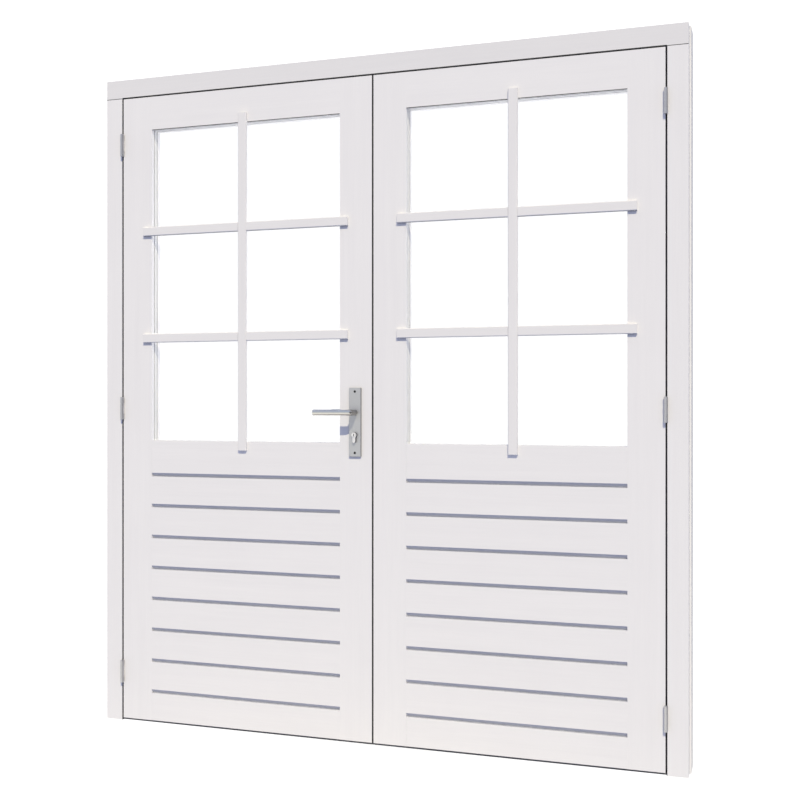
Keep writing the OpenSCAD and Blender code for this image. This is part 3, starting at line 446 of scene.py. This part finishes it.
def rubber_and_painted_shade(name, shade=(0.085, 0.085, 0.087)):
    """Matt rubber or foam with a fine surface. Made dark, it is also painted shade in the gaps,
    under the head and top rails, and under the glazing bars.
    """
    shader = Shader(name)
    speck = shader.noise(shader.place(), 900, detail=2)
    shader.set(
        Base_Color=shader.mix(speck, tinted(shade, 0.6), shade),
        Roughness=0.62 + speck * 0.2,
        Normal=shader.bump(speck, 0.02 * MM, 0.6),
    )
    return shader.material


def threshold_surface(name):
    """Dark glass-fibre composite with a fine, even grain."""
    shader = Shader(name)
    grit = shader.noise(shader.place(), 700, detail=3)
    cloud = shader.noise(shader.place(), 12, detail=2)
    shader.set(
        Base_Color=shader.mix(grit * 0.5 + cloud * 0.5, (0.06, 0.06, 0.064), (0.11, 0.11, 0.115)),
        Roughness=0.55 + grit * 0.25,
        Normal=shader.bump(grit, 0.08 * MM, 0.7),
    )
    return shader.material


# ---- Pieces ----


def dress(piece, material):
    piece.data.materials.clear()
    piece.data.materials.append(material)


def new_piece(shape, name, material):
    """Makes an object of a shape that is done with."""
    mesh = bpy.data.meshes.new(name)
    shape.to_mesh(mesh)
    shape.free()
    piece = bpy.data.objects.new(name, mesh)
    bpy.context.scene.collection.objects.link(piece)
    dress(piece, material)
    return piece


def stand_for(piece, node):
    """Puts a piece in a node's place, on the node's body."""
    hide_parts(node)
    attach(piece, BODY_OF[node])
    return piece


def outside_face():
    """The depth of the outside face, in which the leaves, the head and the posts lie."""
    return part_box("left_boards")[0][1]


def finished_copy(node, name, material, width, angle=TIMBER_ROUND, cuts=()):
    """A copy of a node's mesh, merged and with rounded edges, that stands for the node.

    cuts are planes, as points and normals, that divide its faces.
    """
    source = frame["nodes"][node]
    shape = bmesh.new()
    shape.from_mesh(source.data)
    bmesh.ops.remove_doubles(shape, verts=shape.verts, dist=MERGE)
    bmesh.ops.dissolve_limit(
        shape, angle_limit=math.radians(1), use_dissolve_boundaries=False,
        verts=shape.verts, edges=shape.edges, delimit=set(),
    )
    for point, normal in cuts:
        geometry = shape.verts[:] + shape.edges[:] + shape.faces[:]
        bmesh.ops.bisect_plane(shape, geom=geometry, plane_co=point, plane_no=normal)
    weigh_edges(shape, angle)
    smooth_by_angle(shape, TIMBER_SMOOTH)
    piece = new_piece(shape, name, material)
    rounding = piece.modifiers.new("Rounded edges", "BEVEL")
    rounding.width = width
    rounding.segments = 2
    rounding.limit_method = "WEIGHT"
    rounding.use_clamp_overlap = True
    rounding.harden_normals = True
    return stand_for(piece, node)


def weigh_edges(shape, angle):
    """Marks the edges that are sharper than an angle, to be rounded."""
    weight = shape.edges.layers.float.new("bevel_weight_edge")
    for edge in shape.edges:
        if len(edge.link_faces) == 2 and edge.calc_face_angle(0) > math.radians(angle):
            edge[weight] = 1.0


def smooth_by_angle(shape, angle):
    """Shades faces smoothly, apart from edges that are sharper than an angle."""
    for face in shape.faces:
        face.smooth = True
    for edge in shape.edges:
        if len(edge.link_faces) == 2:
            edge.smooth = edge.calc_face_angle(0) < math.radians(angle)


def dress_faces(piece, material, chosen):
    """Gives a second material to the faces that are chosen by their middle and normal."""
    piece.data.materials.append(material)
    for face in piece.data.polygons:
        if chosen(face.center, face.normal):
            face.material_index = len(piece.data.materials) - 1


def shade_strip_cuts():
    """The two planes between which the painted shade strips lie, behind the outside face."""
    timber = settings("doors_timber")
    front = AXES["y"] * (outside_face() + timber.shade_strip_set)
    back = front + AXES["y"] * timber.shade_strip_width
    return ((front, AXES["y"]), (back, AXES["y"]))


def add_painted_shade_strip(piece, material, facing):
    """Paints shade: a dark band, between the two strip planes, on the faces that look one way."""
    (front, _), (back, _) = shade_strip_cuts()
    dress_faces(
        piece, material,
        lambda middle, normal: front.y < middle[1] < back.y and normal.dot(facing) > LOOKS,
    )


def add_front_line(piece, material, chosen):
    """Gives a second material to narrow faces of the outside face, chosen by their middle."""
    dress_faces(
        piece, material,
        lambda middle, normal: normal.y < -LOOKS and abs(middle[1] - outside_face()) < MM / 2
        and chosen(middle),
    )


def add_painted_groove_shade(piece, material):
    """Paints shade: gives the darker, bluish groove paint to the faces that lie just behind the
    outside face.
    """
    front = outside_face() + 0.3 * MM
    back = outside_face() + settings("doors_timber").groove_depth + MM
    dress_faces(
        piece, material,
        lambda middle, normal: front < middle[1] < back and normal.y < 0.5,
    )


class DOORS_OT_frame(bpy.types.Operator):
    """Paints the posts and the head, with painted shade in their rebates, beside the gaps and on
    the posts' outer sides, and a dark line at each joint of the head and a post; dresses the
    threshold and the seals
    """

    bl_idname = "doors.frame"
    bl_label = "Frame"

    def execute(self, context):
        width = settings("doors_timber").arris
        upright = painted_timber("paint_posts", "z")
        level = painted_timber("paint_head", "x", (0.93, 0.93, 0.93))
        # Painted shade: a darker paint for the posts' outer sides, which get less light than their
        # fronts
        painted_side_shade = painted_timber("painted_shade_post_sides", "z", (0.87, 0.87, 0.88))
        # Dark rubber for the frame's seals, and painted shade in the rebates and beside the gaps
        strip_material = rubber_and_painted_shade("rubber_seals_and_gap_shade")
        timber = settings("doors_timber")
        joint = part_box("left_hinge_stile")[1][2] + timber.head_gap
        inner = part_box("threshold")[1][0]
        shade_band_reach = Vector((0, 0, joint + timber.gap_line))
        line = Vector((0, 0, joint - timber.joint_line))
        sides = [(Vector((sign * inner, 0, 0)), AXES["x"]) for sign in (-1, 1)]
        head = finished_copy("head", "frame_head", level, width,
                             cuts=(*shade_strip_cuts(), (shade_band_reach, AXES["z"]), *sides))
        # Painted shade on the head's underside over the leaves, and on a band of its front just
        # over their gap
        add_painted_shade_strip(head, strip_material, -AXES["z"])
        add_front_line(head, strip_material, lambda middle: joint < middle[2] < shade_band_reach.z
                       and abs(middle[0]) < inner)
        for side, sign in (("left", 1), ("right", -1)):
            edge = Vector((-sign * (inner + timber.gap_line), 0, 0))
            post = finished_copy(f"{side}_post", f"frame_{side}_post", upright,
                                 width, cuts=(*shade_strip_cuts(), (line, AXES["z"]), (edge, AXES["x"])))
            # Painted shade in the post's rebate and on a band of its front beside the gap, and the
            # dark joint line under the head
            add_painted_shade_strip(post, strip_material, AXES["x"] * sign)
            add_front_line(post, strip_material, lambda middle: line.z < middle[2] < joint
                           or inner < abs(middle[0]) < abs(edge.x))
            # Painted shade on the post's outer side
            dress_faces(post, painted_side_shade, lambda middle, normal: -sign * normal.x > LOOKS
                        and abs(middle[0]) > inner)
        dress(frame["nodes"]["threshold"], threshold_surface("threshold_composite"))
        dress(frame["nodes"]["frame_seals"], strip_material)
        return {"FINISHED"}


class DOORS_OT_leaves(bpy.types.Operator):
    """Paints the stiles, the rails and the boards of both leaves, with painted shade on their edges
    in the gaps, beside the meeting gap, under the top rails and in the grooves
    """

    bl_idname = "doors.leaves"
    bl_label = "Leaves"

    def execute(self, context):
        width = settings("doors_timber").arris
        upright = painted_timber("paint_stiles", "z")
        level = painted_timber("paint_rails", "x")
        shade_band_reach = settings("doors_timber").gap_line / 2
        # Painted shade: a darker, bluish paint for the grooves between the boards
        grooves = painted_timber("painted_shade_grooves", "x", (0.68, 0.70, 0.76))
        # Painted shade for the leaves' edges in the gaps, beside the meeting gap and under the top
        # rails
        strip_material = rubber_and_painted_shade("painted_gap_shade_edges")
        for side in SIDES:
            meeting = "left_lock_stile" if side == "left" else "right_meeting_stile"
            outward = -AXES["x"] if side == "left" else AXES["x"]
            stile = finished_copy(f"{side}_hinge_stile", f"leaf_{side}_hinge_stile", upright,
                                  width, cuts=shade_strip_cuts())
            # Painted shade on the hinge stile's edge in the gap
            add_painted_shade_strip(stile, strip_material, outward)
            line = outward * (abs(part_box(meeting)[side == "left"][0]) + shade_band_reach)
            stile = finished_copy(meeting, f"leaf_{meeting}", upright, width,
                                  cuts=(*shade_strip_cuts(), (line, AXES["x"])))
            # Painted shade on the meeting edge, and on a band of the front beside the meeting gap
            add_painted_shade_strip(stile, strip_material, -outward)
            add_front_line(stile, strip_material, lambda middle: abs(middle[0]) < abs(line.x))
            top_rail = finished_copy(f"{side}_top_rail", f"leaf_{side}_top_rail", level,
                                     width, cuts=shade_strip_cuts())
            # Painted shade under the top rail, at the top of the pane
            add_painted_shade_strip(top_rail, strip_material, -AXES["z"])
            for part in ("middle_rail", "bottom_rail", "boards"):
                node = f"{side}_{part}"
                piece = finished_copy(node, f"leaf_{node}", level, width)
                # Painted shade in the grooves
                add_painted_groove_shade(piece, grooves)
        return {"FINISHED"}


class DOORS_OT_glazing(bpy.types.Operator):
    """Finishes the glass, its seals, beads and bars, with painted shade under the cross bars"""

    bl_idname = "doors.glazing"
    bl_label = "Glazing"

    def execute(self, context):
        width = settings("doors_timber").bar_arris
        upright = painted_timber("paint_upright_bars", "z", (0.96, 0.96, 0.96))
        level = painted_timber("paint_cross_bars", "x", (0.96, 0.96, 0.96))
        glass = clear_glass("window_glass")
        # Painted shade: a dark band on the undersides of the cross bars
        painted_underside_shade = rubber_and_painted_shade("painted_shade_bar_undersides", (0.12, 0.115, 0.11))
        strip_material = rubber_and_painted_shade("glazing_tape", (0.88, 0.88, 0.88))
        spacer = rubber_and_painted_shade("spacer_foam", (0.95, 0.95, 0.95))
        for side in SIDES:
            finished_copy(
                f"{side}_vertical_bar", f"bar_{side}_upright", upright, width
            )
            cross = finished_copy(
                f"{side}_horizontal_bars", f"bars_{side}_cross", level, width
            )
            # Painted shade on the cross bars' undersides
            dress_faces(cross, painted_underside_shade, lambda middle, normal: normal.z < -LOOKS)
            finished_copy(
                f"{side}_glass_beads", f"beads_{side}", level, width
            )
            dress(frame["nodes"][f"{side}_glass"], glass)
            dress(frame["nodes"][f"{side}_glass_seals"], strip_material)
            dress(frame["nodes"][f"{side}_glass_spacer"], spacer)
        return {"FINISHED"}


class DOORS_OT_hinges(bpy.types.Operator):
    """Finishes the hinges, their pins and the screws"""

    bl_idname = "doors.hinges"
    bl_label = "Hinges"

    def execute(self, context):
        metal = settings("doors_metal")
        steel = plated_steel("hinge_steel", tuple(metal.steel), 0.3)
        dark = plated_steel("screw_steel", (0.30, 0.30, 0.31), 0.4)
        for side in SIDES:
            for half in ("frame", "leaf"):
                node = f"{side}_{half}_hinges"
                finished_copy(node, f"hinges_{side}_{half}", steel,
                              metal.screw_edge, METAL_ROUND)
        finished_copy("hinge_pins", "pins", steel, metal.screw_edge,
                      METAL_ROUND)
        for node in ("frame_screws", "left_leaf_screws", "right_leaf_screws"):
            dress(frame["nodes"][node], dark)
        return {"FINISHED"}


def rim_of(verts):
    """The edges that join vertices of one ring."""
    return list({
        edge for vert in verts for edge in vert.link_edges if edge.other_vert(vert) in verts
    })


def vertices_of(made):
    return [item for item in made if isinstance(item, bmesh.types.BMVert)]


def draw_out(shape, ring, way, scale=1.0):
    """Extrudes a ring by a way, scales the new ring about its middle, and returns it."""
    made = bmesh.ops.extrude_edge_only(shape, edges=rim_of(ring))["geom"]
    fresh = vertices_of(made)
    bmesh.ops.translate(shape, vec=way, verts=fresh)
    middle = sum((vert.co for vert in fresh), Vector()) / len(fresh)
    bmesh.ops.scale(shape, vec=(scale,) * 3, space=Matrix.Translation(-middle), verts=fresh)
    return fresh


def turned_lever(node, name, material, side):
    """A lever of round bar: a journal in the plate, a neck, a bend, and a grip with a softened end.

    It is made for the outside, and side is -1 for the inside, where it is mirrored.
    """
    metal = settings("doors_metal")
    low, high = (Vector(corner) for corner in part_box(node))
    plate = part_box("outer_plate")
    radius = (high.z - low.z) / 2
    hub = Vector((high.x - radius, 0, (low.z + high.z) / 2))
    depth = max(abs(low.y), abs(high.y)) - radius
    neck_start = Vector((hub.x, plate[0][1] - metal.running_gap, hub.z))
    journal_start = Vector((hub.x, -min(abs(low.y), abs(high.y)), hub.z))
    edge, soft, quarter = metal.screw_edge, metal.lever_edge, math.radians(90)
    shape = bmesh.new()
    turn = Matrix.Translation(journal_start) @ Matrix.Rotation(quarter, 4, "X")
    ring = bmesh.ops.create_circle(
        shape, cap_ends=True, segments=BAR_SEGMENTS, radius=metal.journal / 2, matrix=turn
    )["verts"]
    ring = draw_out(shape, ring, neck_start - journal_start)
    ring = draw_out(shape, ring, Vector(), (radius - edge) / (metal.journal / 2))
    ring = draw_out(shape, ring, AXES["y"] * -edge, radius / (radius - edge))
    ring = draw_out(shape, ring, AXES["y"] * (metal.bend - depth - ring[0].co.y))
    centre = Vector((hub.x - metal.bend, metal.bend - depth, hub.z))
    ring = vertices_of(bmesh.ops.spin(
        shape, geom=rim_of(ring), cent=centre, axis=-AXES["z"], angle=quarter,
        steps=BEND_STEPS, use_merge=False,
    )["geom_last"])
    ring = draw_out(shape, ring, AXES["x"] * (low.x + soft - ring[0].co.x))
    for step in range(1, END_STEPS + 1):
        past, now = (quarter * part / END_STEPS for part in (step - 1, step))
        shrink = (radius - soft + soft * math.cos(now)) / (radius - soft + soft * math.cos(past))
        way = AXES["x"] * (-soft * (math.sin(now) - math.sin(past)))
        ring = draw_out(shape, ring, way, shrink)
    bmesh.ops.contextual_create(shape, geom=ring)
    if side < 0:
        bmesh.ops.scale(shape, vec=(1, -1, 1), verts=shape.verts)
    bmesh.ops.recalc_face_normals(shape, faces=shape.faces)
    smooth_by_angle(shape, LEVER_SMOOTH)
    return stand_for(new_piece(shape, name, material), node)


class DOORS_OT_handle(bpy.types.Operator):
    """Finishes the levers, the plates and the lock, with painted shade on the sides of the plates
    and the cylinder and a painted dark reflection on the levers' necks
    """

    bl_idname = "doors.handle"
    bl_label = "Handle and lock"

    def execute(self, context):
        metal = settings("doors_metal")
        lever = brushed_metal("lever_metal", tuple(metal.handle), "x", 0.2, 1.0)
        plate = brushed_metal("plate_metal", tuple(metal.plate), "z", 0.36, 0.6)
        bright = plated_steel("cylinder_metal", (0.92, 0.92, 0.92), 0.3, 0.3)
        steel = plated_steel("lock_steel", tuple(metal.steel), 0.34)
        dark = plated_steel("small_screws", (0.02, 0.02, 0.021), 0.5, 0.2)
        # Painted shade: a dark metal for the sides of the plates and of the cylinder
        edge = plated_steel("painted_shade_metal_sides", (0.17, 0.17, 0.185), 0.45, 0.2)
        # Painted reflection: a dark metal for the necks' sides, standing for the dark surroundings
        # they reflect
        neck = brushed_metal("painted_reflection_neck_metal", (0.32, 0.31, 0.305), "y", 0.3, 1.0)
        for side, node in ((1, "outer_lever"), (-1, "inner_lever")):
            piece = turned_lever(node, f"handle_{node}", lever, side)
            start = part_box(node)[1][0] - 2 * metal.bend
            # Painted reflection on the neck's sides
            dress_faces(piece, neck, lambda middle, normal: middle[0] > start
                        and abs(normal.y) < 0.5)
        for node, name, material, slot in (
            ("outer_plate", "handle_outer_plate", plate, "handle_metal"),
            ("inner_plate", "handle_inner_plate", plate, "handle_metal"),
            ("cylinder_body", "lock_cylinder_body", bright, "hardware_steel"),
            ("cylinder_plug", "lock_cylinder_plug", bright, "hardware_steel"),
        ):
            piece = finished_copy(node, name, material, metal.screw_edge, METAL_ROUND)
            # Painted shade on the sides
            dress_faces(piece, edge, lambda middle, normal: abs(normal.y) < SIDE_DEPTH)
        for node in ("lock_case", "lock_cover", "strike_plate", "top_bolt_case",
                     "bottom_bolt_case", "head_keep", "latch_bolt", "dead_bolt",
                     "top_flush_bolt", "bottom_flush_bolt", "follower", "spindle"):
            dress(frame["nodes"][node], steel)
        for node in ("plate_screws", "grub_screws", "cylinder_screw"):
            dress(frame["nodes"][node], dark)
        return {"FINISHED"}


# ---- Stage ----

# The floor fades this many times sooner before and behind the doors than beside them
FLOOR_SHALLOW = 2.0

# How much of the backdrop shows through the floor at the doors
FLOOR_CLEAR = 0.55

# The studio as metal reflects it, from straight down to straight up
MIRROR_BANDS = (
    (0.0, (0.36, 0.30, 0.26)),
    (0.10, (0.42, 0.36, 0.31)),
    (0.20, (1.25, 1.22, 1.06)),
    (0.38, (1.20, 1.18, 1.06)),
    (0.46, (0.64, 0.65, 0.65)),
    (0.56, (0.62, 0.63, 0.65)),
    (0.84, (0.54, 0.60, 0.72)),
    (1.0, (0.44, 0.50, 0.64)),
)


# Where metal starts to reflect the dark side of the studio and sees nothing else, and its colour
DARK_SIDE = (0.55, 0.9)
DARK_SHADE = (0.14, 0.135, 0.13)

# Where the light from behind the doors starts and is full
BEHIND = (0.3, 0.6)

# Half the side of the floor's square
FLOOR_REACH = 30


def studio_floor(name):
    """A pale floor that fades into the backdrop with the distance from the doors."""
    stage = settings("doors_stage")
    shader = Shader(name)
    tone = shader.noise(shader.place(), 0.5, detail=1)
    shader.set(
        Base_Color=shader.mix(tone, tinted(stage.floor, 0.985), tuple(stage.floor)),
        Roughness=0.9,
        Specular_IOR_Level=0.2,
    )
    point = shader.place(scale=(1, FLOOR_SHALLOW, 1))
    distance = shader.node("ShaderNodeVectorMath", {"operation": "LENGTH"}, {0: point}, "Value")
    fade = (distance / stage.floor_radius).clamped() * (1 - FLOOR_CLEAR) + FLOOR_CLEAR
    clear = shader.node("ShaderNodeBsdfTransparent", {}, {})
    shader.show(shader.blend(fade, Wire(shader, shader.surface.outputs["BSDF"]), clear))
    return shader.material


def along_ray(nodes, axis, low, high):
    """How far a ray's direction lies between two shares of an axis."""
    direction = nodes.node("ShaderNodeTexCoord", {}, {}, "Generated")
    share = nodes.node("ShaderNodeSeparateXYZ", {}, {0: direction}, axis)
    return nodes.node(
        "ShaderNodeMapRange", {}, {"Value": share, "From Min": low, "From Max": high}
    )


def studio_light(name):
    """Soft light from all round, brighter from behind the doors, before an empty white backdrop.

    Metal reflects it as cool above, bright ahead, warm and dim below, and dark on the right.
    """
    stage = settings("doors_stage")
    world = bpy.data.worlds.new(name)
    world.use_nodes = True
    nodes = Nodes(world.node_tree)

    def background(shade):
        return nodes.node("ShaderNodeBackground", {}, {"Color": shade})

    soft = nodes.mix(along_ray(nodes, "Y", *BEHIND), tuple(stage.sky), tuple(stage.behind))
    bands = nodes.node(
        "ShaderNodeValToRGB", {"stops": MIRROR_BANDS}, {"Fac": along_ray(nodes, "Z", -1, 1)}
    )
    mirror = nodes.mix(along_ray(nodes, "X", *DARK_SIDE), bands, DARK_SHADE)
    diffuse = nodes.node("ShaderNodeLightPath", {}, {}, "Is Diffuse Ray")
    glossy = nodes.node("ShaderNodeLightPath", {}, {}, "Is Glossy Ray")
    seen = nodes.blend(diffuse, background(tuple(stage.backdrop)), background(soft))
    output = nodes.tree.nodes.new("ShaderNodeOutputWorld")
    nodes.feed(output.inputs["Surface"], nodes.blend(glossy, seen, background(mirror)))
    return world


def add_light(name, kind, place=(0, 0, 0), turn=(0, 0, 0)):
    """A light and its object."""
    light = bpy.data.lights.new(name, kind)
    lamp = bpy.data.objects.new(name, light)
    lamp.location = place
    lamp.rotation_euler = turn
    bpy.context.scene.collection.objects.link(lamp)
    return light, lamp


class DOORS_OT_stage(bpy.types.Operator):
    """Sets up the floor, the light and the camera"""

    bl_idname = "doors.stage"
    bl_label = "Floor, light and camera"

    def execute(self, context):
        stage = settings("doors_stage")
        scene = bpy.context.scene
        shape = bmesh.new()
        bmesh.ops.create_grid(shape, x_segments=1, y_segments=1, size=FLOOR_REACH)
        new_piece(shape, "floor", studio_floor("floor_paint"))

        travel = stage.sun_travel.to_track_quat("-Z", "Y").to_euler()
        sun, lamp = add_light("sun", "SUN", turn=travel)
        sun.energy = stage.sun_strength
        sun.angle = stage.sun_angle
        sun.color = stage.sun_colour
        lamp.visible_glossy = False

        panel, lamp = add_light("panel", "AREA", stage.panel_place, (math.radians(-90), 0, 0))
        panel.shape = "RECTANGLE"
        panel.size, panel.size_y = stage.panel_size
        panel.energy = stage.panel_power
        lamp.visible_camera = lamp.visible_glossy = lamp.visible_transmission = False

        scene.world = studio_light("surroundings")

        camera = bpy.data.cameras.new("camera")
        camera.lens = stage.lens
        camera.sensor_width = 36
        camera.clip_start = 0.05
        camera.clip_end = 200
        eye = bpy.data.objects.new("camera", camera)
        eye.location = stage.camera_place
        eye.rotation_euler = (math.radians(90), 0, stage.camera_turn)
        scene.collection.objects.link(eye)
        scene.camera = eye
        scene.view_settings.view_transform = "Standard"
        return {"FINISHED"}


class DOORS_PT_panel(bpy.types.Panel):
    """The steps that finish the garden doors"""

    bl_idname = "DOORS_PT_panel"
    bl_label = "Garden doors"
    bl_space_type = "VIEW_3D"
    bl_region_type = "UI"
    bl_category = "Garden doors"

    def draw(self, context):
        for owner, group in SETTINGS:
            box = self.layout.box()
            for name in group.__annotations__:
                box.prop(getattr(context.scene, owner), name)
        for operator in OPERATORS:
            self.layout.operator(operator.bl_idname)


SETTINGS = (
    ("doors_timber", TimberSettings),
    ("doors_metal", MetalSettings),
    ("doors_stage", StageSettings),
)
OPERATORS = (
    DOORS_OT_frame,
    DOORS_OT_leaves,
    DOORS_OT_glazing,
    DOORS_OT_hinges,
    DOORS_OT_handle,
    DOORS_OT_stage,
)


def register():
    for name, group in SETTINGS:
        bpy.utils.register_class(group)
        setattr(bpy.types.Scene, name, bpy.props.PointerProperty(type=group))
    for operator in OPERATORS:
        bpy.utils.register_class(operator)
    bpy.utils.register_class(DOORS_PT_panel)


def unregister():
    bpy.utils.unregister_class(DOORS_PT_panel)
    for operator in reversed(OPERATORS):
        bpy.utils.unregister_class(operator)
    for name, group in reversed(SETTINGS):
        delattr(bpy.types.Scene, name)
        bpy.utils.unregister_class(group)


def main():
    register()
    bpy.ops.doors.frame()
    bpy.ops.doors.leaves()
    bpy.ops.doors.glazing()
    bpy.ops.doors.hinges()
    bpy.ops.doors.handle()
    bpy.ops.doors.stage()
    bpy.context.view_layer.update()


if __name__ == "__main__":
    main()
